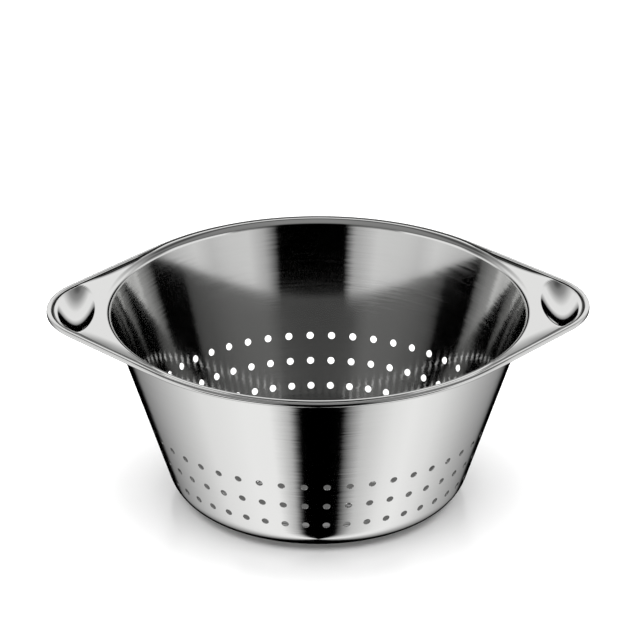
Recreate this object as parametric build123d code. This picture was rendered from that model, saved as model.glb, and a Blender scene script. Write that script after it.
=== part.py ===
from build123d import *
from math import acos, atan, cos, degrees, pi, radians, sin, sqrt
import os

# Colander: a perforated conical bowl with a flat base, and a pressed collar that
# carries two pointed ear handles. The collar's edge is rolled over a wire.
# Millimetres, +Z up, origin at the centre of the face that the bowl stands on.
# The ears point along +X and -X.

# Sheet
SHEET = 0.6                   # steel sheet of the bowl and the collar

# Bowl, measured on its outer face
HEIGHT = 109.5                # standing face to the top of the rim
WALL_FOOT_RADIUS = 77.9       # where the straight wall would meet the standing face
WALL_HALF_ANGLE = 18.1        # degrees that the wall leans out from upright
BASE_CORNER = 19.0            # rounding between wall and base
PANEL_RADIUS = 47.0           # raised panel inside the standing ring
PANEL_RISE = 1.5              # height of the raised panel
PANEL_STEP = 4.0              # width of the step up to the panel

# Drain holes
HOLE_DIAMETER = 4.0
HOLES_PER_ROW = 48
ROW_COUNT = 3
FIRST_ROW_HEIGHT = 19.8       # middle of the lowest row above the standing face
ROW_PITCH = 13.6              # height from row to row
ROW_TURN = 1.3                # degrees from the front to the first column
BASE_RING_PITCH = 16.0        # radius from ring to ring in the base
BASE_RING_COUNT = 2
BASE_RING_STEP = 6            # holes that each ring has more than the one inside it

# Collar and ears, seen from above
MOUTH_FLARE = 6.5             # rounding from the bowl's wall to the top of the rim
RIM_FLAT = 0.88               # level strip between the mouth's rounding and the edge bead
EAR_OVERHANG = 27.0           # how far the tip of an ear stands out past the round rim
EAR_TIP_RADIUS = 45.0         # rounding of an ear's tip
EAR_BLEND_BEFORE = 9.7        # degrees before the round rim where the ear's own section ends
EAR_BLEND_AFTER = 3.3         # degrees into the round rim where its own section begins
EAR_MARGIN = 7.3              # degrees into the round rim that an ear's sheet covers
EAR_STATIONS = 12             # sections along half an ear
SHOULDER_WIDTH = 6.0          # strip of an ear that rolls down beside the edge bead
SEAM_GAP = 0.05               # between the bowl's edge and the collar's neck, filled by the weld

# Edge bead and its wire
BEAD_DIAMETER = 2.7
WIRE_CLEARANCE = 0.25         # all round, between wire and rolled sheet
BEAD_SLOT = 60.0              # degrees left open where the rolled edge ends underneath
BEAD_SLOT_MIDDLE = 225.0      # degrees round the bead from its outer side, upwards

# Thumb dimple in each ear, measured on the ear's top face
DIMPLE_INSET = 17.2           # ear's tip to the middle of the dimple
DIMPLE_LENGTH = 58.0          # across the ear
DIMPLE_WIDTH = 21.0           # along the ear
DIMPLE_DEPTH = 5.0

# How far every cutting tool runs past the face that it cuts
OVERRUN = 2.0

# Worked out from the sizes above
half_angle = radians(WALL_HALF_ANGLE)
wall_slope = sin(half_angle) / cos(half_angle)
wall_inner_foot = WALL_FOOT_RADIUS - SHEET / cos(half_angle)
flare_centre_height = HEIGHT - MOUTH_FLARE
flare_centre_radius = wall_inner_foot + wall_slope * flare_centre_height + MOUTH_FLARE / cos(half_angle)
neck_inner = (
    flare_centre_radius - MOUTH_FLARE * cos(half_angle),
    flare_centre_height + MOUTH_FLARE * sin(half_angle),
)
neck_outer = (neck_inner[0] + SHEET * cos(half_angle), neck_inner[1] - SHEET * sin(half_angle))
bead_radius = BEAD_DIAMETER / 2
bead_height = HEIGHT - bead_radius
wire_radius = bead_radius - SHEET - WIRE_CLEARANCE
rim_radius = flare_centre_radius + RIM_FLAT + bead_radius
ear_reach = rim_radius + EAR_OVERHANG
ear_centre = ear_reach - EAR_TIP_RADIUS
tangent_angle = acos((rim_radius - EAR_TIP_RADIUS) / ear_centre)
ear_span = degrees(tangent_angle) + EAR_MARGIN
dimple_middle = ear_reach - DIMPLE_INSET


def corner_profile(corner_radius, foot_radius, base_height):
    """Give the points of a wall foot: where the wall, its rounding and the base meet."""
    centre_height = base_height + corner_radius
    centre_radius = foot_radius + wall_slope * centre_height - corner_radius / cos(half_angle)
    lean = (pi / 2 - half_angle) / 2
    wall_end = (centre_radius + corner_radius * cos(half_angle), centre_height - corner_radius * sin(half_angle))
    middle = (centre_radius + corner_radius * sin(lean), centre_height - corner_radius * cos(lean))
    base_end = (centre_radius, base_height)
    return wall_end, middle, base_end


def bowl_shell():
    """Turn the bowl's sheet, from the centre of its base up to the neck."""
    outer_end, outer_middle, outer_base = corner_profile(BASE_CORNER, WALL_FOOT_RADIUS, 0)
    inner_end, inner_middle, inner_base = corner_profile(BASE_CORNER - SHEET, wall_inner_foot, SHEET)
    step_foot = PANEL_RADIUS + PANEL_STEP
    edge_outer = (neck_outer[0] - SEAM_GAP * sin(half_angle), neck_outer[1] - SEAM_GAP * cos(half_angle))
    edge_inner = (neck_inner[0] - SEAM_GAP * sin(half_angle), neck_inner[1] - SEAM_GAP * cos(half_angle))
    outline = [
        Line((0, PANEL_RISE), (PANEL_RADIUS, PANEL_RISE)),
        Line((PANEL_RADIUS, PANEL_RISE), (step_foot, 0)),
        Line((step_foot, 0), outer_base),
        ThreePointArc(outer_base, outer_middle, outer_end),
        Line(outer_end, edge_outer),
        Line(edge_outer, edge_inner),
        Line(edge_inner, inner_end),
        ThreePointArc(inner_end, inner_middle, inner_base),
        Line(inner_base, (step_foot, SHEET)),
        Line((step_foot, SHEET), (PANEL_RADIUS, PANEL_RISE + SHEET)),
        Line((PANEL_RADIUS, PANEL_RISE + SHEET), (0, PANEL_RISE + SHEET)),
        Line((0, PANEL_RISE + SHEET), (0, PANEL_RISE)),
    ]
    return revolve(Plane.XZ * make_face(Curve() + outline), axis=Axis.Z)


def wall_punches():
    """Place a punch square to the wall at every drain hole of the rows."""
    punch = Cylinder(HOLE_DIAMETER / 2, SHEET + 2 * OVERRUN)
    punches = []
    for row in range(ROW_COUNT):
        height = FIRST_ROW_HEIGHT + row * ROW_PITCH
        radius = wall_inner_foot + wall_slope * height
        for column in range(HOLES_PER_ROW):
            turn = radians(ROW_TURN + column * 360 / HOLES_PER_ROW)
            outward = Vector(sin(turn), -cos(turn), 0)
            normal = outward * cos(half_angle) - Vector(0, 0, sin(half_angle))
            place = Plane(origin=outward * radius + Vector(0, 0, height), z_dir=normal)
            punches.append(place * punch)
    return punches


def base_punches():
    """Place an upright punch at the centre of the base and at every hole of its rings."""
    punch = Cylinder(HOLE_DIAMETER / 2, SHEET + 2 * OVERRUN)
    level = Pos(0, 0, PANEL_RISE)
    punches = [level * punch]
    for ring in range(1, BASE_RING_COUNT + 1):
        for place in PolarLocations(ring * BASE_RING_PITCH, ring * BASE_RING_STEP):
            punches.append(level * place * punch)
    return punches


def perforated_bowl():
    """Draw the bowl and punch its drain holes."""
    return bowl_shell() - wall_punches() - base_punches()


def outline_radius(angle, inset):
    """Give the rim outline's radius at an angle from the ear's middle line, set in by a width."""
    angle = abs(angle)
    tip = EAR_TIP_RADIUS - inset
    tangent_point = Vector(ear_centre + tip * cos(tangent_angle), tip * sin(tangent_angle))
    if angle < atan(tangent_point.Y / tangent_point.X):
        return ear_centre * cos(angle) + sqrt(tip**2 - (ear_centre * sin(angle)) ** 2)
    if angle < tangent_angle:
        return (rim_radius - inset) / cos(tangent_angle - angle)
    return rim_radius - inset


def ear_share(angle):
    """Give how much of the ear's own section holds at an angle, from 1 in the ear to 0 in the rim."""
    blend_start = degrees(tangent_angle) - EAR_BLEND_BEFORE
    way = (degrees(abs(angle)) - blend_start) / (EAR_BLEND_BEFORE + EAR_BLEND_AFTER)
    way = min(max(way, 0), 1)
    return 1 - way * way * (3 - 2 * way)


def shoulder_points(angle):
    """Give where the flat top ends, where the shoulder steepens and where it meets the bead."""
    share = ear_share(angle)
    inwards = share * (bead_radius - SHEET / 4)
    drop = bead_radius - sqrt(bead_radius**2 - inwards**2)
    ledge_inset = RIM_FLAT / 2 + share * (bead_radius + SHOULDER_WIDTH - RIM_FLAT / 2)
    ledge_end = outline_radius(angle, bead_radius + ledge_inset)
    foot = outline_radius(angle, bead_radius + inwards)
    middle = (ledge_end + foot) / 2
    return (ledge_end, HEIGHT), (middle, HEIGHT), (foot, HEIGHT - drop)


def lowered(point, depth):
    """Move a section point straight down."""
    return point[0], point[1] - depth


def flare_middle(radius):
    """Give the middle point of the mouth's rounding, at a radius about the flare's centre."""
    bend = (pi / 2 + half_angle) / 2
    return flare_centre_radius - radius * cos(bend), flare_centre_height + radius * sin(bend)


def collar_section(angle):
    """Draw the collar's sheet in the upright plane at an angle, from the neck to the edge bead."""
    ledge_end, middle, foot = shoulder_points(angle)
    crest = (flare_centre_radius, HEIGHT)
    outline = [
        ThreePointArc(neck_inner, flare_middle(MOUTH_FLARE), crest),
        Line(crest, ledge_end),
        Bezier(ledge_end, middle, foot),
        Line(foot, lowered(foot, SHEET)),
        Bezier(lowered(foot, SHEET), lowered(middle, SHEET), lowered(ledge_end, SHEET)),
        Line(lowered(ledge_end, SHEET), lowered(crest, SHEET)),
        ThreePointArc(lowered(crest, SHEET), flare_middle(MOUTH_FLARE - SHEET), neck_outer),
        Line(neck_outer, neck_inner),
    ]
    return Plane.XZ * make_face(Curve() + outline)


def filled_section(angle):
    """Draw all that lies under the ear's top face, deep enough to hold the thumb dimple."""
    ledge_end, middle, foot = shoulder_points(angle)
    crest = (flare_centre_radius, HEIGHT)
    floor_depth = DIMPLE_DEPTH + SHEET + OVERRUN
    outline = [
        Line(crest, ledge_end),
        Bezier(ledge_end, middle, foot),
        Line(foot, lowered(foot, floor_depth)),
        Line(lowered(foot, floor_depth), lowered(crest, floor_depth)),
        Line(lowered(crest, floor_depth), crest),
    ]
    return Plane.XZ * make_face(Curve() + outline)


def ear_loft(section):
    """Carry a section round one ear, station by station."""
    step = ear_span / EAR_STATIONS
    stations = [step * station for station in range(-EAR_STATIONS, EAR_STATIONS + 1)]
    return loft([Rot(0, 0, angle) * section(radians(angle)) for angle in stations])


def dimple_form(growth):
    """Make the thumb dimple's hollow, or with the sheet's thickness as growth, the sheet's outside."""
    girth = (DIMPLE_WIDTH**2 / 4 + DIMPLE_DEPTH**2) / (2 * DIMPLE_DEPTH)
    sweep_radius = (DIMPLE_LENGTH**2 / 4 + DIMPLE_DEPTH**2) / (2 * DIMPLE_DEPTH) + growth
    axis_height = HEIGHT + girth - DIMPLE_DEPTH
    girth += growth
    reach = sqrt(girth * (2 * sweep_radius - girth))
    lengthwise = Plane(origin=(dimple_middle, 0, axis_height), x_dir=(0, 1, 0), z_dir=(1, 0, 0))
    belly = make_face(Curve() + [ThreePointArc((-reach, 0), (0, -girth), (reach, 0)), Line((reach, 0), (-reach, 0))])
    return revolve(lengthwise * belly, axis=Axis(lengthwise.origin, lengthwise.x_dir))


def ear():
    """Press one ear: its sheet, with the thumb dimple sunk into it."""
    sheet = ear_loft(collar_section)
    under = dimple_form(SHEET) & ear_loft(filled_section)
    return sheet + under - dimple_form(0)


def round_rim():
    """Turn the stretch of the collar between the ears, at the front of the bowl."""
    arc = 180 - 2 * ear_span
    return revolve(Rot(0, 0, ear_span) * collar_section(pi / 2), axis=Axis.Z, revolution_arc=arc)


def half_rim_path():
    """Draw the line that the edge bead follows, from the front round one ear to the back."""
    rim = rim_radius - bead_radius
    tip = EAR_TIP_RADIUS - bead_radius
    turn = degrees(tangent_angle)
    front = CenterArc((0, 0), rim, -90, 90 - turn)
    nose = CenterArc((ear_centre, 0), tip, -turn, 2 * turn)
    back = CenterArc((0, 0), rim, turn, 90 - turn)
    edges = [front, Line(front @ 1, nose @ 0), nose, Line(nose @ 1, back @ 0), back]
    return Pos(0, 0, bead_height) * Wire([edge.edge() for edge in edges])


def bead_section():
    """Draw the rolled edge: a ring round the wire, open underneath where the sheet ends."""
    ring = Circle(bead_radius) - Circle(bead_radius - SHEET)
    slot_start = BEAD_SLOT_MIDDLE - BEAD_SLOT / 2
    opening = CenterArc((0, 0), bead_radius + OVERRUN, slot_start, BEAD_SLOT)
    slot = make_face(Curve() + [Line((0, 0), opening @ 0), opening, Line(opening @ 1, (0, 0))])
    return ring - slot


def rim_sweep(section):
    """Carry a section all round the rim and the ears, in two halves that meet front and back."""
    path = half_rim_path()
    start = Plane(origin=path @ 0, x_dir=(0, -1, 0), z_dir=path % 0)
    half = sweep(start * section, path=path)
    return half + Rot(0, 0, 180) * half


def handle_collar():
    """Join the ears, the round stretches between them and the rolled edge in one pressing."""
    half = ear() + round_rim()
    return half + Rot(0, 0, 180) * half + rim_sweep(bead_section())


def rim_wire():
    """Bend the wire that stiffens the rolled edge, closed into one loop."""
    return rim_sweep(Circle(wire_radius))


def main():
    """Write every piece of the colander to its own file."""
    os.makedirs("parts", exist_ok=True)
    pieces = {
        "perforated_bowl": perforated_bowl(),
        "handle_collar": handle_collar(),
        "rim_wire": rim_wire(),
    }
    for name, piece in pieces.items():
        piece.label = name
        export_step(piece, f"parts/{name}.step")


main()
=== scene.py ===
"""Dress the colander: a perforated bowl and a collar with two ear handles, in polished stainless steel."""

import logging
import math
from dataclasses import dataclass
from enum import Enum

import bpy
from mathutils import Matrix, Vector, kdtree


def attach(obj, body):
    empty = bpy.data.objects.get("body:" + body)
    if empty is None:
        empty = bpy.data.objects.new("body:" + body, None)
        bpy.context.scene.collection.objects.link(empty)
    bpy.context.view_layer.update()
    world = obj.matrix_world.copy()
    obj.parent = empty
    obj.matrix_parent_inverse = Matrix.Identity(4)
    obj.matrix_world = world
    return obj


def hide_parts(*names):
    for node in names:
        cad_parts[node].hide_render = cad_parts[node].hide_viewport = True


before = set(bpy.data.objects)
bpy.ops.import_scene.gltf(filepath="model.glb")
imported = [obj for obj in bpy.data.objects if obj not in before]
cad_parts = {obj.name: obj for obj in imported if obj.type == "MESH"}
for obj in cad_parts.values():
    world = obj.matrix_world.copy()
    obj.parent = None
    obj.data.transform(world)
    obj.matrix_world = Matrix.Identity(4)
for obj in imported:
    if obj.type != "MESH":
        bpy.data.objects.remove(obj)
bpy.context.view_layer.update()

log = logging.getLogger("colander")

MM = 0.001
MERGE_DISTANCE = 0.002 * MM
REPEAT_DISTANCE = 1e-4    # mm; points of an outline that are nearer than this count as one
RIM_REACH = 100    # mm from the axis, where a buffing line has its full length
SMOOTH_ANGLE = math.radians(35)    # sheet edges meet more sharply than this and stay crisp
SRGB_KNEE = 0.04045    # below this an sRGB share is a straight line
SRGB_SLOPE = 12.92
SRGB_OFFSET = 0.055
SRGB_POWER = 2.4

Point = tuple[float, float]


class Body(Enum):
    """The CAD bodies that pieces ride on."""

    ROOT = "root"


class Slot(Enum):
    """The record's material slots."""

    BOWL = "bowl_steel"
    COLLAR = "collar_steel"
    WIRE = "wire_steel"


def smooth_step(value: float, start: float, end: float) -> float:
    """Rise from 0 to 1 with level ends.

    Args:
        value: Where to read the rise.
        start: Where the rise begins.
        end: Where the rise is complete.

    Returns:
        The share of the rise, from 0 to 1.
    """
    way = min(max((value - start) / (end - start), 0.0), 1.0)
    return way * way * (3 - 2 * way)


def linear_colour(hex_code: str) -> tuple[float, float, float, float]:
    """Turn an sRGB hex colour into the linear colour that a shader takes.

    Args:
        hex_code: Six hex digits, red, green and blue.

    Returns:
        Linear red, green, blue and an alpha of one.
    """
    shares = [int(hex_code[place:place + 2], 16) / 255 for place in (0, 2, 4)]
    red, green, blue = (
        share / SRGB_SLOPE
        if share <= SRGB_KNEE
        else ((share + SRGB_OFFSET) / (1 + SRGB_OFFSET)) ** SRGB_POWER
        for share in shares
    )
    return red, green, blue, 1.0


def add_node(
    tree: bpy.types.NodeTree, kind: str, settings: dict | None = None, inputs: dict | None = None
) -> bpy.types.Node:
    """Add a shader node with its settings and links.

    Args:
        tree: The node tree that takes the node.
        kind: The node's type name.
        settings: Node properties to set.
        inputs: Input socket name or number to a value, or to the output socket that feeds it.

    Returns:
        The new node.
    """
    node = tree.nodes.new(kind)
    for name, value in (settings or {}).items():
        setattr(node, name, value)
    for socket, value in (inputs or {}).items():
        if isinstance(value, bpy.types.NodeSocket):
            tree.links.new(value, node.inputs[socket])
        else:
            node.inputs[socket].default_value = value
    return node


def fresh_material(name: str) -> bpy.types.Material:
    """Make a material with an empty node tree.

    Args:
        name: The material's name.

    Returns:
        The new material.
    """
    material = bpy.data.materials.new(name)
    material.use_nodes = True
    material.node_tree.nodes.clear()
    return material


def deselect_all() -> None:
    """Leave nothing selected."""
    bpy.ops.object.select_all(action="DESELECT")


def arc_points(centre: Point, radius: float, start: float, end: float, count: int) -> list[Point]:
    """Give evenly spaced points along an arc in the radius and height plane.

    Args:
        centre: The arc's centre.
        radius: The arc's radius.
        start: First angle in radians, from the outward direction, upwards.
        end: Last angle.
        count: Number of steps.

    Returns:
        The points, both ends included.
    """
    turns = [start + (end - start) * step / count for step in range(count + 1)]
    return [(centre[0] + radius * math.cos(turn), centre[1] + radius * math.sin(turn)) for turn in turns]


def straight_points(start: Point, end: Point, count: int) -> list[Point]:
    """Give evenly spaced points along a straight line.

    Args:
        start: The first point.
        end: The last point.
        count: Number of steps.

    Returns:
        The points, both ends included.
    """
    across, up = end[0] - start[0], end[1] - start[1]
    shares = [step / count for step in range(count + 1)]
    return [(start[0] + across * share, start[1] + up * share) for share in shares]


def joined(*runs: list[Point]) -> list[Point]:
    """Chain runs of points, and drop each point that repeats the one before it.

    Args:
        runs: The runs, in order.

    Returns:
        The points in one run.
    """
    chain: list[Point] = []
    for run in runs:
        for point in run:
            if not chain or math.dist(point, chain[-1]) > REPEAT_DISTANCE:
                chain.append(point)
    return chain


def spin_outline(name: str, outline: list[Point], steps: int) -> bpy.types.Object:
    """Draw an outline in the front plane by extruding a point, and spin it round the upright axis.

    Args:
        name: The new piece's name.
        outline: Radius and height of each point in millimetres.
        steps: Number of steps in the full turn.

    Returns:
        The closed, smooth piece.
    """
    deselect_all()
    bpy.ops.mesh.primitive_plane_add(size=MM)
    piece = bpy.context.object
    piece.name = name
    piece.data.name = name
    bpy.ops.object.mode_set(mode="EDIT")
    bpy.ops.mesh.select_all(action="SELECT")
    bpy.ops.mesh.merge(type="CENTER")
    bpy.ops.transform.translate(value=(outline[0][0] * MM, 0, outline[0][1] * MM))
    for last, point in zip(outline, outline[1:]):
        step = ((point[0] - last[0]) * MM, 0, (point[1] - last[1]) * MM)
        bpy.ops.mesh.extrude_region_move(TRANSFORM_OT_translate={"value": step})
    bpy.ops.mesh.select_all(action="SELECT")
    bpy.ops.mesh.spin(steps=steps, angle=math.tau, center=(0, 0, 0), axis=(0, 0, 1))
    bpy.ops.mesh.select_all(action="SELECT")
    bpy.ops.mesh.remove_doubles(threshold=MERGE_DISTANCE)
    bpy.ops.mesh.normals_make_consistent(inside=False)
    bpy.ops.object.mode_set(mode="OBJECT")
    return piece


def shade(piece: bpy.types.Object) -> None:
    """Shade a piece smooth, with its sheet edges kept sharp.

    Args:
        piece: The piece.
    """
    deselect_all()
    piece.select_set(True)
    bpy.context.view_layer.objects.active = piece
    bpy.ops.object.shade_smooth_by_angle(angle=SMOOTH_ANGLE)


def dress(piece: bpy.types.Object, materials: list[bpy.types.Material], node: str) -> None:
    """Give a piece its materials, and put it in the place of its CAD node.

    Args:
        piece: The finished piece.
        materials: Its materials, in the order of its faces' material numbers.
        node: The CAD node that it stands for.
    """
    for material in materials:
        piece.data.materials.append(material)
    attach(piece, Body.ROOT.value)
    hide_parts(node)


@dataclass(frozen=True)
class PolishedStainless:
    """Deep-drawn 18/10 stainless steel, polished on a spinning buff.

    The buff leaves fine lines round the axis, so a reflection is sharp sideways and drawn out up and down.
    It also leans the face a little to either side, so the edge of a reflection is frayed along the lines.
    """

    name: str
    colour: str = "CECECD"
    roughness: float = 0.1
    anisotropy: float = 0.9
    grain_pitch: float = 0.7        # mm between buffing lines; real ones, near 0.05 mm, are too fine to show
    grain_length: float = 25.0      # mm along one buffing line
    grain_depth: float = 0.0002     # mm
    grain_detail: float = 3.0
    grain_coarseness: float = 0.6
    grain_low: float = 0.3          # the noise's usual range
    grain_high: float = 0.7
    roughness_spread: float = 0.02
    lay_wander: float = 0.022       # how far the buffed face leans to either side, as a slope
    lay_turn: float = 0.25          # of a full turn

    def material(self) -> bpy.types.Material:
        """Build the material.

        Returns:
            Metal with buffing lines round the upright axis.
        """
        material = fresh_material(self.name)
        tree = material.node_tree
        place = add_node(tree, "ShaderNodeTexCoord").outputs["Object"]
        parts = add_node(tree, "ShaderNodeSeparateXYZ", None, {0: place})
        flat = add_node(tree, "ShaderNodeCombineXYZ", None, {0: parts.outputs[0], 1: parts.outputs[1]})
        radius = add_node(tree, "ShaderNodeVectorMath", {"operation": "LENGTH"}, {0: flat.outputs[0]})
        turn = add_node(
            tree, "ShaderNodeMath", {"operation": "ARCTAN2"}, {0: parts.outputs[1], 1: parts.outputs[0]}
        )
        lengths = RIM_REACH / self.grain_length
        along = add_node(tree, "ShaderNodeMath", {"operation": "MULTIPLY"}, {0: turn.outputs[0], 1: lengths})
        lines = 1 / (self.grain_pitch * MM)
        across = add_node(tree, "ShaderNodeMath", {"operation": "MULTIPLY"}, {0: parts.outputs[2], 1: lines})
        outwards = add_node(
            tree, "ShaderNodeMath", {"operation": "MULTIPLY"}, {0: radius.outputs["Value"], 1: lines}
        )
        spun = add_node(
            tree,
            "ShaderNodeCombineXYZ",
            None,
            {0: along.outputs[0], 1: across.outputs[0], 2: outwards.outputs[0]},
        )
        grain = add_node(
            tree,
            "ShaderNodeTexNoise",
            None,
            {
                "Vector": spun.outputs[0],
                "Scale": 1.0,
                "Detail": self.grain_detail,
                "Roughness": self.grain_coarseness,
            },
        )
        spread = add_node(
            tree,
            "ShaderNodeMapRange",
            None,
            {
                "Value": grain.outputs["Fac"],
                "From Min": self.grain_low,
                "From Max": self.grain_high,
                "To Min": self.roughness - self.roughness_spread,
                "To Max": self.roughness + self.roughness_spread,
            },
        )
        normal = add_node(tree, "ShaderNodeNewGeometry").outputs["Normal"]
        round_axis = add_node(
            tree, "ShaderNodeVectorMath", {"operation": "CROSS_PRODUCT"}, {0: (0, 0, 1), 1: normal}
        )
        wander = add_node(
            tree,
            "ShaderNodeMapRange",
            None,
            {
                "Value": grain.outputs["Fac"],
                "From Min": 0.0,
                "From Max": 1.0,
                "To Min": -self.lay_wander,
                "To Max": self.lay_wander,
            },
        )
        swayed = add_node(
            tree,
            "ShaderNodeVectorMath",
            {"operation": "SCALE"},
            {0: round_axis.outputs[0], "Scale": wander.outputs["Result"]},
        )
        leaning = add_node(
            tree, "ShaderNodeVectorMath", {"operation": "ADD"}, {0: normal, 1: swayed.outputs[0]}
        )
        facing = add_node(tree, "ShaderNodeVectorMath", {"operation": "NORMALIZE"}, {0: leaning.outputs[0]})
        bump = add_node(
            tree,
            "ShaderNodeBump",
            None,
            {
                "Height": grain.outputs["Fac"],
                "Distance": self.grain_depth * MM,
                "Strength": 1.0,
                "Normal": facing.outputs[0],
            },
        )
        steel = add_node(
            tree,
            "ShaderNodeBsdfPrincipled",
            None,
            {
                "Base Color": linear_colour(self.colour),
                "Metallic": 1.0,
                "Roughness": spread.outputs["Result"],
                "Anisotropic": self.anisotropy,
                "Anisotropic Rotation": self.lay_turn,
                "Normal": bump.outputs[0],
            },
        )
        add_node(tree, "ShaderNodeOutputMaterial", None, {"Surface": steel.outputs[0]})
        return material


@dataclass(frozen=True)
class DullSteel:
    """Steel as it leaves the die: a dull grey metal with a fine, uneven sheen. Coloured dark, it also paints
    shade into the rolled edge's inner foot.
    """

    name: str
    colour: str = "A3A29F"
    roughness: float = 0.4
    roughness_spread: float = 0.1
    die_line_pitch: float = 0.3    # mm
    die_line_detail: float = 2.0

    def material(self) -> bpy.types.Material:
        """Build the material.

        Returns:
            Dull metal, its roughness varied by the die lines.
        """
        material = fresh_material(self.name)
        tree = material.node_tree
        place = add_node(tree, "ShaderNodeTexCoord").outputs["Object"]
        fineness = 1 / (self.die_line_pitch * MM)
        lines = add_node(
            tree,
            "ShaderNodeTexNoise",
            None,
            {"Vector": place, "Scale": fineness, "Detail": self.die_line_detail},
        )
        spread = add_node(
            tree,
            "ShaderNodeMapRange",
            None,
            {
                "Value": lines.outputs["Fac"],
                "To Min": self.roughness - self.roughness_spread,
                "To Max": self.roughness + self.roughness_spread,
            },
        )
        steel = add_node(
            tree,
            "ShaderNodeBsdfPrincipled",
            None,
            {
                "Base Color": linear_colour(self.colour),
                "Metallic": 1.0,
                "Roughness": spread.outputs["Result"],
            },
        )
        add_node(tree, "ShaderNodeOutputMaterial", None, {"Surface": steel.outputs[0]})
        return material


@dataclass
class PerforatedBowl:
    """The drawn bowl: a cone with a rounded foot, a standing ring, a raised panel and rows of drain holes.

    Sizes are millimetres on the outer face, and angles are degrees.
    """

    sheet: float = 0.6
    foot_radius: float = 77.9
    half_angle: float = 18.1
    corner: float = 19.0
    panel_radius: float = 47.0
    panel_rise: float = 1.5
    panel_step: float = 4.0
    hole_diameter: float = 4.0
    holes_per_row: int = 48
    row_heights: tuple[float, ...] = (19.8, 33.4, 47.0)
    row_turn: float = 1.3
    base_pitch: float = 16.0
    base_rings: int = 2
    base_ring_step: int = 6
    punch_sides: int = 28
    punch_length: float = 4.0
    panel_points: int = 6
    step_points: int = 8
    corner_points: int = 16
    wall_points: int = 30
    steps: int = 480

    @property
    def lean(self) -> float:
        """The wall's lean in radians."""
        return math.radians(self.half_angle)

    @property
    def inner_foot(self) -> float:
        """Where the straight inner wall would meet the standing face."""
        return self.foot_radius - self.sheet / math.cos(self.lean)

    def wall_end(self, foot: float, corner: float, level: float) -> tuple[Point, Point]:
        """Give a wall foot's rounding centre and the point where the straight wall starts.

        Args:
            foot: Radius at which the straight wall would meet the standing face.
            corner: Radius of the rounding.
            level: Height of the base face that the rounding runs into.

        Returns:
            The rounding's centre and the lower end of the straight wall.
        """
        height = level + corner
        radius = foot + math.tan(self.lean) * height - corner / math.cos(self.lean)
        end = (radius + corner * math.cos(self.lean), height - corner * math.sin(self.lean))
        return (radius, height), end

    def base_points(self, level: float) -> list[Point]:
        """Give the base from its centre to the end of the step.

        Args:
            level: Height above the base's outer face.

        Returns:
            The points, from the centre outwards.
        """
        step_foot = self.panel_radius + self.panel_step
        top = self.panel_rise + level
        panel = straight_points((0, top), (self.panel_radius, top), self.panel_points)
        step = []
        for place in range(1, self.step_points):
            share = place / self.step_points
            drop = self.panel_rise * smooth_step(share, 0, 1)
            step.append((self.panel_radius + self.panel_step * share, self.panel_rise - drop + level))
        return joined(panel, step, [(step_foot, level)])

    def outline(self, neck_inner: Point, neck_outer: Point) -> list[Point]:
        """Draw the sheet from the base's centre up the outer face and down the inner one.

        Args:
            neck_inner: Where the inner face meets the collar.
            neck_outer: Where the outer face meets the collar.

        Returns:
            The outline in millimetres.
        """
        outer_centre, outer_end = self.wall_end(self.foot_radius, self.corner, 0)
        inner_centre, inner_end = self.wall_end(self.inner_foot, self.corner - self.sheet, self.sheet)
        count = self.corner_points
        outer_corner = arc_points(outer_centre, self.corner, -math.pi / 2, -self.lean, count)
        inner_corner = arc_points(inner_centre, self.corner - self.sheet, -self.lean, -math.pi / 2, count)
        return joined(
            self.base_points(0),
            outer_corner,
            straight_points(outer_end, neck_outer, self.wall_points),
            straight_points(neck_outer, neck_inner, 1),
            straight_points(neck_inner, inner_end, self.wall_points),
            inner_corner,
            list(reversed(self.base_points(self.sheet))),
        )

    def punch_places(self) -> list[tuple[Vector, Vector]]:
        """Set out the drain holes.

        Returns:
            Middle and axis of every hole, in millimetres.
        """
        places = []
        for height in self.row_heights:
            radius = self.inner_foot + math.tan(self.lean) * height
            for column in range(self.holes_per_row):
                turn = math.radians(self.row_turn + column * 360 / self.holes_per_row)
                outward = Vector((math.sin(turn), -math.cos(turn), 0))
                normal = outward * math.cos(self.lean) - Vector((0, 0, math.sin(self.lean)))
                places.append((outward * radius + Vector((0, 0, height)), normal))
        upright = Vector((0, 0, 1))
        level = Vector((0, 0, self.panel_rise))
        places.append((level, upright))
        for ring in range(1, self.base_rings + 1):
            radius = ring * self.base_pitch
            count = ring * self.base_ring_step
            for step in range(count):
                turn = math.tau * step / count
                sideways = Vector((radius * math.cos(turn), radius * math.sin(turn), 0))
                places.append((level + sideways, upright))
        return places

    def punches(self) -> bpy.types.Object:
        """Make one punch, copy it to every drain hole and join the copies.

        Returns:
            The tool that punches all holes at once.
        """
        deselect_all()
        bpy.ops.mesh.primitive_cylinder_add(
            vertices=self.punch_sides, radius=self.hole_diameter / 2 * MM, depth=self.punch_length * MM
        )
        first = bpy.context.object
        tools = []
        for place, direction in self.punch_places():
            tool = first.copy()
            tool.data = first.data.copy()
            tool.location = place * MM
            tool.rotation_euler = direction.to_track_quat("Z", "Y").to_euler()
            bpy.context.scene.collection.objects.link(tool)
            tools.append(tool)
        bpy.data.objects.remove(first, do_unlink=True)
        deselect_all()
        for tool in tools:
            tool.select_set(True)
        bpy.context.view_layer.objects.active = tools[0]
        bpy.ops.object.join()
        return bpy.context.object

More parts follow.
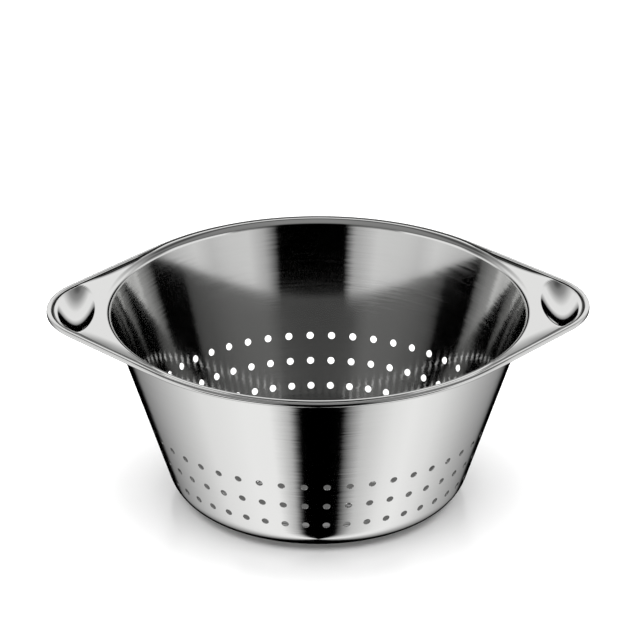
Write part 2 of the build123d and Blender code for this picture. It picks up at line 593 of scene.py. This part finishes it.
    def build(self, neck_inner: Point, neck_outer: Point, finish: PolishedStainless) -> bpy.types.Object:
        """Draw the bowl, punch it and dress it.

        Args:
            neck_inner: Where the inner face meets the collar.
            neck_outer: Where the outer face meets the collar.
            finish: The steel's finish.

        Returns:
            The finished bowl.
        """
        bowl = spin_outline("bowl", self.outline(neck_inner, neck_outer), self.steps)
        log.info("%s: spun", bowl.name)
        tool = self.punches()
        log.info("%s: punches set out", bowl.name)
        deselect_all()
        bowl.select_set(True)
        bpy.context.view_layer.objects.active = bowl
        cut = bowl.modifiers.new("drain_holes", "BOOLEAN")
        cut.operation = "DIFFERENCE"
        cut.object = tool
        cut.solver = "EXACT"
        bpy.ops.object.modifier_apply(modifier=cut.name)
        bpy.data.objects.remove(tool, do_unlink=True)
        log.info("%s: punched", bowl.name)
        shade(bowl)
        dress(bowl, [finish.material()], "perforated_bowl")
        return bowl


class CollarFinish(Enum):
    """The collar's material numbers."""

    SHEET = 0
    EDGE = 1
    # The rolled edge's inner foot, coloured dark as painted shade.
    CREVICE = 2


class Strip(Enum):
    """The strips of the collar's section, in order from the neck over the top and back underneath."""

    FLARE = "flare"
    WEB = "web"
    BEAD = "bead"
    UNDER_WEB = "under_web"
    UNDER_FLARE = "under_flare"


@dataclass(frozen=True)
class RowPlace:
    """A point of the round rim's section, the strip that it is in, and its way along it from 0 to 1."""

    point: Point
    strip: Strip
    way: float


@dataclass
class HandleCollar:
    """The pressed collar: the mouth's flare, two pointed ears with thumb dimples, and the rolled edge.

    Sizes are millimetres, and angles are degrees. The collar is spun round, and its rows are then drawn out
    into the ears.
    """

    bowl: PerforatedBowl
    height: float = 109.5
    flare: float = 4.2
    rim_radius: float = 120.0
    ear_reach: float = 147.0
    tip_radius: float = 45.0
    blend_start: float = 33.0       # from the ear's middle line, where its section turns into the rim's
    blend_end: float = 46.0
    bead_diameter: float = 2.7
    bead_end: float = -135.0        # where the rolled edge's way round ends, from its outermost side
    rim_squareness: float = 2.0     # exponent of the rolled edge's section, 2 for a circle
    ear_squareness: float = 4.0     # round the ears the rolled edge is pressed flat on top
    rim_opening: float = 68.0       # how far round its inner side the rolled edge stands free of the sheet
    ear_opening: float = 105.0
    rim_step_width: float = 0.7     # of the short step at the rolled edge's foot
    ear_step_width: float = 1.8
    shoulder_width: float = 9.0
    shoulder_share: float = 0.4     # of the fall to the rolled edge's foot, the rest is the short step
    shoulder_start: float = 8.0     # from the ear's middle line; the tip has no shoulder
    shoulder_full: float = 24.0
    dimple_middle: float = 130.9
    dimple_bow: float = 0.001       # per mm, the dimple's bend along the ear's edge
    dimple_half_width: float = 10.6
    dimple_half_length: float = 30.5
    dimple_taper: float = 0.62      # exponent, 0.5 for an ellipse
    dimple_depth: float = 3.7
    dimple_edge_share: float = 0.06     # how softly the dimple's wall begins at its edge
    crevice_share: float = 0.16     # of the rolled edge's way round, its inner foot, coloured dark as painted shade
    curl_end_inset: float = 0.02    # the lower face begins this much in and up from the roll's end
    curl_end_rise: float = 0.5
    under_reach_share: float = 0.985    # of the way to the rolled edge, where the lower face ends
    flare_points: int = 12
    web_rows: int = 72
    bead_points: int = 20
    under_points: int = 20
    under_flare_points: int = 10
    steps: int = 720

    @property
    def sheet(self) -> float:
        """Thickness of the sheet."""
        return self.bowl.sheet

    @property
    def bead_radius(self) -> float:
        """Radius of the rolled edge."""
        return self.bead_diameter / 2

    @property
    def flare_centre(self) -> Point:
        """Centre of the mouth's rounding."""
        level = self.height - self.flare
        lean = self.bowl.lean
        return self.bowl.inner_foot + math.tan(lean) * level + self.flare / math.cos(lean), level

    def neck(self, inset: float) -> Point:
        """Give the collar's lower edge.

        Args:
            inset: Depth into the sheet from its inner face.

        Returns:
            Radius and height.
        """
        centre, level = self.flare_centre
        reach = self.flare - inset
        lean = self.bowl.lean
        return centre - reach * math.cos(lean), level + reach * math.sin(lean)

    def outline_radius(self, angle: float, inset: float) -> float:
        """Give the rim outline's radius.

        Args:
            angle: Radians from the nearer ear's middle line, from 0 to a quarter turn.
            inset: Distance in from the outline.

        Returns:
            The radius in millimetres at that angle.
        """
        centre = self.ear_reach - self.tip_radius
        tangent = math.acos((self.rim_radius - self.tip_radius) / centre)
        tip = self.tip_radius - inset
        if angle < math.atan2(tip * math.sin(tangent), centre + tip * math.cos(tangent)):
            return centre * math.cos(angle) + math.sqrt(tip**2 - (centre * math.sin(angle)) ** 2)
        if angle < tangent:
            return (self.rim_radius - inset) / math.cos(tangent - angle)
        return self.rim_radius - inset

    def ear_share(self, angle: float) -> float:
        """Give how much of the ear's section holds at an angle, from 1 in the ear to 0 in the rim."""
        return 1 - smooth_step(math.degrees(angle), self.blend_start, self.blend_end)

    def opening(self, angle: float) -> float:
        """Give how far round the rolled edge stands free of the sheet, in radians from its top."""
        return math.radians(self.rim_opening + self.ear_share(angle) * (self.ear_opening - self.rim_opening))

    def bead_place(self, angle: float, swing: float) -> Point:
        """Give a place on the rolled edge.

        Args:
            angle: Radians from the ear's middle line.
            swing: Radians round the rolled edge, from its outermost side upwards.

        Returns:
            Distance in from the outline, and height.
        """
        power = self.rim_squareness + self.ear_share(angle) * (self.ear_squareness - self.rim_squareness)
        reach = (abs(math.cos(swing)) ** power + abs(math.sin(swing)) ** power) ** (-1 / power)
        bead = self.bead_radius
        return bead * (1 - reach * math.cos(swing)), self.height - bead + bead * reach * math.sin(swing)

    def strips(self) -> dict[Strip, list[Point]]:
        """Draw the round rim's section.

        Returns:
            The points of each strip, from the neck over the top, round the rolled edge and back underneath.
        """
        centre = self.flare_centre
        neck_turn = math.pi - self.bowl.lean
        bead = self.bead_radius
        bead_centre = (self.rim_radius - bead, self.height - bead)
        roll = arc_points(bead_centre, bead, math.pi / 2, math.radians(self.bead_end), self.bead_points)
        curl_end = (roll[-1][0] - self.curl_end_inset, roll[-1][1] + self.curl_end_rise)
        crest = (centre[0], self.height)
        under_crest = (centre[0], self.height - self.sheet)
        lower = self.flare - self.sheet
        return {
            Strip.FLARE: arc_points(centre, self.flare, neck_turn, math.pi / 2, self.flare_points),
            Strip.WEB: straight_points(crest, (bead_centre[0], self.height), self.web_rows),
            Strip.BEAD: roll,
            Strip.UNDER_WEB: straight_points(curl_end, under_crest, self.under_points),
            Strip.UNDER_FLARE: arc_points(centre, lower, math.pi / 2, neck_turn, self.under_flare_points),
        }

    def section(self) -> list[Point]:
        """Chain the strips into one closed outline."""
        strips = self.strips()
        return joined(*strips.values(), strips[Strip.FLARE][:1])

    def row_places(self) -> list[RowPlace]:
        """List the section's points, each point that two strips share once, in the strip that is drawn out.

        Returns:
            The points with their strips, and their ways from the crest outwards or round the rolled edge.
        """
        strips = self.strips()
        places = [RowPlace(point, Strip.FLARE, 0.0) for point in strips[Strip.FLARE][:-1]]
        places += [RowPlace(point, Strip.UNDER_FLARE, 0.0) for point in strips[Strip.UNDER_FLARE][1:]]
        strips[Strip.UNDER_WEB].reverse()
        for strip in (Strip.WEB, Strip.BEAD, Strip.UNDER_WEB):
            points = strips[strip]
            rows = [RowPlace(point, strip, index / (len(points) - 1)) for index, point in enumerate(points)]
            places += rows[1:] if strip is Strip.BEAD else rows
        return places

    def dimple(self, x: float, y: float) -> float:
        """Give how far the thumb dimple is sunk at a place on the ear.

        Args:
            x: Distance from the bowl's axis along the ear.
            y: Distance from the ear's middle line.

        Returns:
            The depth in millimetres.
        """
        taper = 1 - (y / self.dimple_half_length) ** 2
        if taper <= 0:
            return 0.0
        half_width = self.dimple_half_width * taper**self.dimple_taper
        middle = self.dimple_middle - self.dimple_bow * y**2
        share = 1 - ((x - middle) / half_width) ** 2
        if share <= 0:
            return 0.0
        return self.dimple_depth * taper * share**2 / (share + self.dimple_edge_share)

    def ear_surface(self, angle: float, way: float) -> Point:
        """Give a place on the top face between the mouth's crest and the bead.

        Args:
            angle: Radians from the ear's middle line.
            way: 0 at the crest and 1 at the bead.

        Returns:
            Radius and height.
        """
        share = self.ear_share(angle)
        step_width = self.rim_step_width + share * (self.ear_step_width - self.rim_step_width)
        inset, foot_height = self.bead_place(angle, math.pi / 2 + self.opening(angle))
        foot = self.outline_radius(angle, inset)
        crest = self.flare_centre[0]
        radius = crest + (foot - crest) * way
        fall = self.height - foot_height
        shoulder_way = (radius - foot + self.shoulder_width) / (self.shoulder_width - step_width)
        shoulder = min(max(shoulder_way, 0.0), 1.0) ** 2
        step = smooth_step(radius, foot - step_width, foot)
        gentle = self.shoulder_share * share
        gentle *= smooth_step(math.degrees(angle), self.shoulder_start, self.shoulder_full)
        return radius, self.height - fall * (gentle * shoulder + (1 - gentle) * step)

    def drawn_place(self, row: RowPlace, angle: float) -> Point:
        """Give where a point of the round rim's section goes.

        Args:
            row: The point.
            angle: Radians from the ear's middle line.

        Returns:
            Radius and height.
        """
        if row.strip in (Strip.FLARE, Strip.UNDER_FLARE):
            return row.point
        if row.strip is Strip.BEAD:
            start = math.pi / 2 + self.opening(angle)
            inset, height = self.bead_place(angle, start + (math.radians(self.bead_end) - start) * row.way)
            return self.outline_radius(angle, inset), height
        below = row.strip is Strip.UNDER_WEB
        radius, height = self.ear_surface(angle, min(row.way, self.under_reach_share) if below else row.way)
        sunk = self.dimple(radius * math.cos(angle), radius * math.sin(angle))
        return radius, height - sunk - (self.sheet if below else 0)

    def draw_out(self, collar: bpy.types.Object) -> None:
        """Draw the ears out of the round rim, sink the dimples, and mark the rolled edge's faces.

        Args:
            collar: The spun round rim.
        """
        rows = self.row_places()
        nearest = kdtree.KDTree(len(rows))
        for index, row in enumerate(rows):
            nearest.insert((row.point[0], 0.0, row.point[1]), index)
        nearest.balance()
        bead_ways: dict[int, float] = {}
        for vertex in collar.data.vertices:
            x, y, z = vertex.co / MM
            row = rows[nearest.find((math.hypot(x, y), 0.0, z))[1]]
            turn = math.atan2(y, x)
            angle = min(abs(turn), math.pi - abs(turn))
            radius, height = self.drawn_place(row, angle)
            vertex.co = Vector((radius * math.cos(turn), radius * math.sin(turn), height)) * MM
            if row.strip is Strip.BEAD:
                bead_ways[vertex.index] = row.way
            elif row.strip is Strip.WEB and row.way == 1:
                bead_ways[vertex.index] = 0.0
        for face in collar.data.polygons:
            ways = [bead_ways.get(index) for index in face.vertices]
            if None not in ways:
                # The roll's inner foot takes the dark material: painted shade in the groove.
                finish = CollarFinish.CREVICE if max(ways) <= self.crevice_share else CollarFinish.EDGE
                face.material_index = finish.value

    def build(
        self, sheet: PolishedStainless, edge: PolishedStainless, crevice: DullSteel
    ) -> bpy.types.Object:
        """Spin the rim, draw out the ears and dress the collar.

        Args:
            sheet: The sheet's finish.
            edge: The rolled edge's finish.
            crevice: The dark finish of the rolled edge's inner foot, which paints shade there.

        Returns:
            The finished collar.
        """
        collar = spin_outline("collar", self.section(), self.steps)
        self.draw_out(collar)
        shade(collar)
        finishes = {CollarFinish.SHEET: sheet, CollarFinish.EDGE: edge, CollarFinish.CREVICE: crevice}
        materials = [finishes[number].material() for number in CollarFinish]
        dress(collar, materials, "handle_collar")
        return collar


@dataclass(frozen=True)
class LightZone:
    """A soft part of the studio's light, as bright at a place as its two levels there multiplied.

    Each stop is an angle in degrees and a level. Azimuths run from the front towards +X, and elevations from
    the horizon.
    """

    azimuths: tuple[Point, ...]
    elevations: tuple[Point, ...]


# The pale floor as the steel mirrors it, with a dark gap towards the front and none of it behind.
FLOOR_GLOW = LightZone(
    (
        (-180, 0.0), (-157, 0.0), (-152, 0.2), (-140, 0.33), (-125, 0.5), (-107, 0.7), (-95, 0.85),
        (-62, 0.97), (-42, 0.97), (-34, 0.75), (-26, 0.5), (-20, 0.08), (-17, 0.0), (19, 0.0), (26, 0.27),
        (36, 0.62), (60, 0.9), (75, 0.97), (95, 0.85), (107, 0.7), (125, 0.48), (140, 0.33), (152, 0.2),
        (157, 0.0), (180, 0.0),
    ),
    ((-90, 1.32), (-36, 1.32), (-26, 0.0), (90, 0.0)),
)
# Two large panels at the sides, brightest low down.
SIDE_PANELS = LightZone(
    (
        (-180, 0.0), (-135, 0.0), (-112, 1.0), (-35, 1.0), (-22, 0.6), (-17, 0.0), (21, 0.0), (29, 0.65),
        (38, 1.0), (112, 1.0), (135, 0.0), (180, 0.0),
    ),
    (
        (-90, 0.0), (-5, 0.0), (0, 0.36), (3, 0.45), (5, 0.6), (7, 0.74), (9, 0.92), (13, 0.95), (19, 0.5),
        (25, 0.32), (34, 0.14), (41, 0.28), (50, 0.3), (64, 0.33), (90, 0.35),
    ),
)
# Two narrow strips in front of the side panels, which light the ears' near edges.
SIDE_STRIPS = LightZone(
    (
        (-180, 0.0), (-98, 0.0), (-88, 1.0), (-52, 1.0), (-46, 0.0), (46, 0.0), (52, 1.0), (88, 1.0),
        (98, 0.0), (180, 0.0),
    ),
    ((-90, 0.0), (13, 0.0), (17, 0.7), (29, 0.7), (33, 0.0), (90, 0.0)),
)
# The floor far out at the sides, which lights the rolled edge's outer side.
SIDE_FLOOR = LightZone(
    (
        (-180, 0.0), (-145, 0.0), (-112, 1.0), (-70, 1.0), (-60, 0.0), (60, 0.0), (70, 1.0), (112, 1.0),
        (145, 0.0), (180, 0.0),
    ),
    ((-90, 0.0), (-36, 0.0), (-28, 1.0), (-3, 1.0), (2, 0.3), (12, 0.2), (15, 0.0), (90, 0.0)),
)
# A bright panel behind, which the ears' flat tops mirror.
REAR_PANEL = LightZone(
    ((-180, 1.0), (-135, 1.0), (-112, 0.0), (112, 0.0), (135, 1.0), (180, 1.0)),
    (
        (-90, 0.0), (11, 0.0), (12, 0.35), (18, 1.15), (27, 1.15), (39, 0.42), (43, 0.3), (46, 0.1),
        (55, 0.1), (64, 0.33), (90, 0.35),
    ),
)
# The dark room behind the camera, with a little light from the ceiling above it.
CAMERA_GAP = LightZone(
    ((-180, 0.0), (-35, 0.0), (-22, 0.4), (-17, 1.0), (21, 1.0), (29, 0.35), (38, 0.0), (180, 0.0)),
    ((-90, 0.0), (36, 0.0), (44, 0.12), (54, 0.33), (90, 0.35)),
)


@dataclass
class Studio:
    """A pale glossy floor, a ring of soft light with dark gaps, and the camera.

    Sizes are metres, and angles are degrees.
    """

    floor_radius: float = 12.0
    floor_sides: int = 96
    floor_colour: str = "F4F4F4"
    floor_roughness: float = 0.12
    floor_ior: float = 1.49
    softbox_height: float = 3.0
    softbox_size: float = 6.0
    softbox_energy: float = 320.0
    camera_lens: float = 235.82
    camera_sensor: float = 36.0
    camera_distance: float = 2.27221
    camera_elevation: float = 25.370
    camera_azimuth: float = -1.590
    camera_clip_end: float = 100.0
    target: tuple[float, float, float] = (0.000893, 0.0, 0.100558)
    zones: tuple[LightZone, ...] = (FLOOR_GLOW, SIDE_PANELS, SIDE_STRIPS, SIDE_FLOOR, REAR_PANEL, CAMERA_GAP)

    def floor(self) -> bpy.types.Object:
        """Lay the floor.

        Returns:
            A disc of white acrylic.
        """
        deselect_all()
        bpy.ops.mesh.primitive_circle_add(
            vertices=self.floor_sides, radius=self.floor_radius, fill_type="NGON"
        )
        floor = bpy.context.object
        floor.name = "floor"
        # Near white and faintly glossy, so only the colander's shadow stands out on it.
        material = fresh_material("white_acrylic_floor")
        tree = material.node_tree
        acrylic = add_node(
            tree,
            "ShaderNodeBsdfPrincipled",
            None,
            {
                "Base Color": linear_colour(self.floor_colour),
                "Roughness": self.floor_roughness,
                "IOR": self.floor_ior,
            },
        )
        add_node(tree, "ShaderNodeOutputMaterial", None, {"Surface": acrylic.outputs[0]})
        floor.data.materials.append(material)
        # The steel mirrors the zones, not the floor.
        floor.visible_glossy = False
        return floor

    def surround(self) -> None:
        """Light the world with the sum of the zones."""
        world = bpy.data.worlds.new("studio")
        bpy.context.scene.world = world
        world.use_nodes = True
        tree = world.node_tree
        tree.nodes.clear()
        direction = add_node(tree, "ShaderNodeTexCoord").outputs["Generated"]
        parts = add_node(tree, "ShaderNodeSeparateXYZ", None, {0: direction})
        front = add_node(tree, "ShaderNodeMath", {"operation": "MULTIPLY"}, {0: parts.outputs[1], 1: -1.0})
        turn = add_node(
            tree, "ShaderNodeMath", {"operation": "ARCTAN2"}, {0: parts.outputs[0], 1: front.outputs[0]}
        )
        lift = add_node(tree, "ShaderNodeMath", {"operation": "ARCSINE"}, {0: parts.outputs[2]})
        total = None
        for zone in self.zones:
            sideways = self.ramp(tree, turn.outputs[0], zone.azimuths, math.pi)
            upright = self.ramp(tree, lift.outputs[0], zone.elevations, math.pi / 2)
            both = add_node(
                tree, "ShaderNodeVectorMath", {"operation": "MULTIPLY"}, {0: sideways, 1: upright}
            )
            if total is None:
                total = both.outputs[0]
            else:
                added = add_node(
                    tree, "ShaderNodeVectorMath", {"operation": "ADD"}, {0: total, 1: both.outputs[0]}
                )
                total = added.outputs[0]
        glow = add_node(tree, "ShaderNodeBackground", None, {"Color": total, "Strength": 1.0})
        add_node(tree, "ShaderNodeOutputWorld", None, {"Surface": glow.outputs[0]})

    def ramp(
        self, tree: bpy.types.NodeTree, angle: bpy.types.NodeSocket, stops: tuple[Point, ...], reach: float
    ) -> bpy.types.NodeSocket:
        """Turn an angle into a grey level.

        Args:
            tree: The world's node tree.
            angle: The angle in radians.
            stops: Degrees and level of each stop, in order.
            reach: The angle's largest size, in radians.

        Returns:
            The level.
        """
        way = add_node(
            tree,
            "ShaderNodeMapRange",
            None,
            {"Value": angle, "From Min": -reach, "From Max": reach, "To Min": 0.0, "To Max": 1.0},
        )
        node = add_node(tree, "ShaderNodeValToRGB", None, {"Fac": way.outputs["Result"]})
        elements = node.color_ramp.elements
        middle = 0.5
        while len(elements) < len(stops):
            elements.new(middle)
        for element, (degrees, level) in zip(elements, stops):
            element.position = (math.radians(degrees) / reach + 1) / 2
            element.color = (level, level, level, 1.0)
        return node.outputs[0]

    def overhead(self) -> bpy.types.Object:
        """Hang a soft light that lights the floor and isn't mirrored in the steel.

        Returns:
            The light.
        """
        deselect_all()
        bpy.ops.object.light_add(type="AREA", location=(0, 0, self.softbox_height))
        light = bpy.context.object
        light.name = "overhead_softbox"
        light.data.shape = "DISK"
        light.data.size = self.softbox_size
        light.data.energy = self.softbox_energy
        light.visible_glossy = False
        light.visible_camera = False
        return light

    def camera(self) -> bpy.types.Object:
        """Stand the camera at the photograph's angle.

        Returns:
            The camera.
        """
        deselect_all()
        azimuth = math.radians(self.camera_azimuth)
        elevation = math.radians(self.camera_elevation)
        level = math.cos(elevation)
        away = Vector((math.sin(azimuth) * level, -math.cos(azimuth) * level, math.sin(elevation)))
        bpy.ops.object.camera_add(location=Vector(self.target) + away * self.camera_distance)
        camera = bpy.context.object
        camera.rotation_euler = (-away).to_track_quat("-Z", "Y").to_euler()
        camera.data.lens = self.camera_lens
        camera.data.sensor_width = self.camera_sensor
        camera.data.clip_end = self.camera_clip_end
        bpy.context.scene.camera = camera
        return camera

    def build(self) -> None:
        """Build the whole studio."""
        self.floor()
        self.surround()
        self.overhead()
        self.camera()
        bpy.context.scene.view_settings.view_transform = "Standard"


def main() -> None:
    """Build the colander's pieces in order, then the studio."""
    logging.basicConfig(level=logging.INFO, format="%(relativeCreated)d ms %(message)s")
    bowl = PerforatedBowl()
    collar = HandleCollar(bowl)
    # A soft buff: reflections keep their shape and blur up and down.
    bowl_steel = PolishedStainless("buffed_18_10_stainless", roughness=0.075, anisotropy=0.8)
    # A hard polish on the press's smooth sheet: reflections are nearly a mirror's.
    collar_steel = PolishedStainless(
        "polished_18_10_stainless_collar", roughness=0.05, anisotropy=0.0, lay_wander=0.0
    )
    # The roll is polished by hand, so its reflections are a little softer.
    edge_steel = PolishedStainless("polished_rolled_edge", roughness=0.12, anisotropy=0.0, lay_wander=0.0)
    # The roll's inner foot is coloured dark as painted shade in the groove: a dark, dull line.
    crevice_shade_steel = DullSteel("crevice_painted_shade", colour="4A4A49", roughness=0.35)
    bowl_piece = bowl.build(collar.neck(0), collar.neck(bowl.sheet), bowl_steel)
    log.info("%s: %d faces", bowl_piece.name, len(bowl_piece.data.polygons))
    collar_piece = collar.build(collar_steel, edge_steel, crevice_shade_steel)
    log.info("%s: %d faces", collar_piece.name, len(collar_piece.data.polygons))
    # Bare drawn wire, dull grey. The roll hides it.
    wire_steel = DullSteel("drawn_steel_wire")
    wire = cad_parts["rim_wire"]
    wire.data.materials.clear()
    wire.data.materials.append(wire_steel.material())
    log.info("%s: dressed", wire.name)
    Studio().build()


if __name__ == "__main__":
    main()
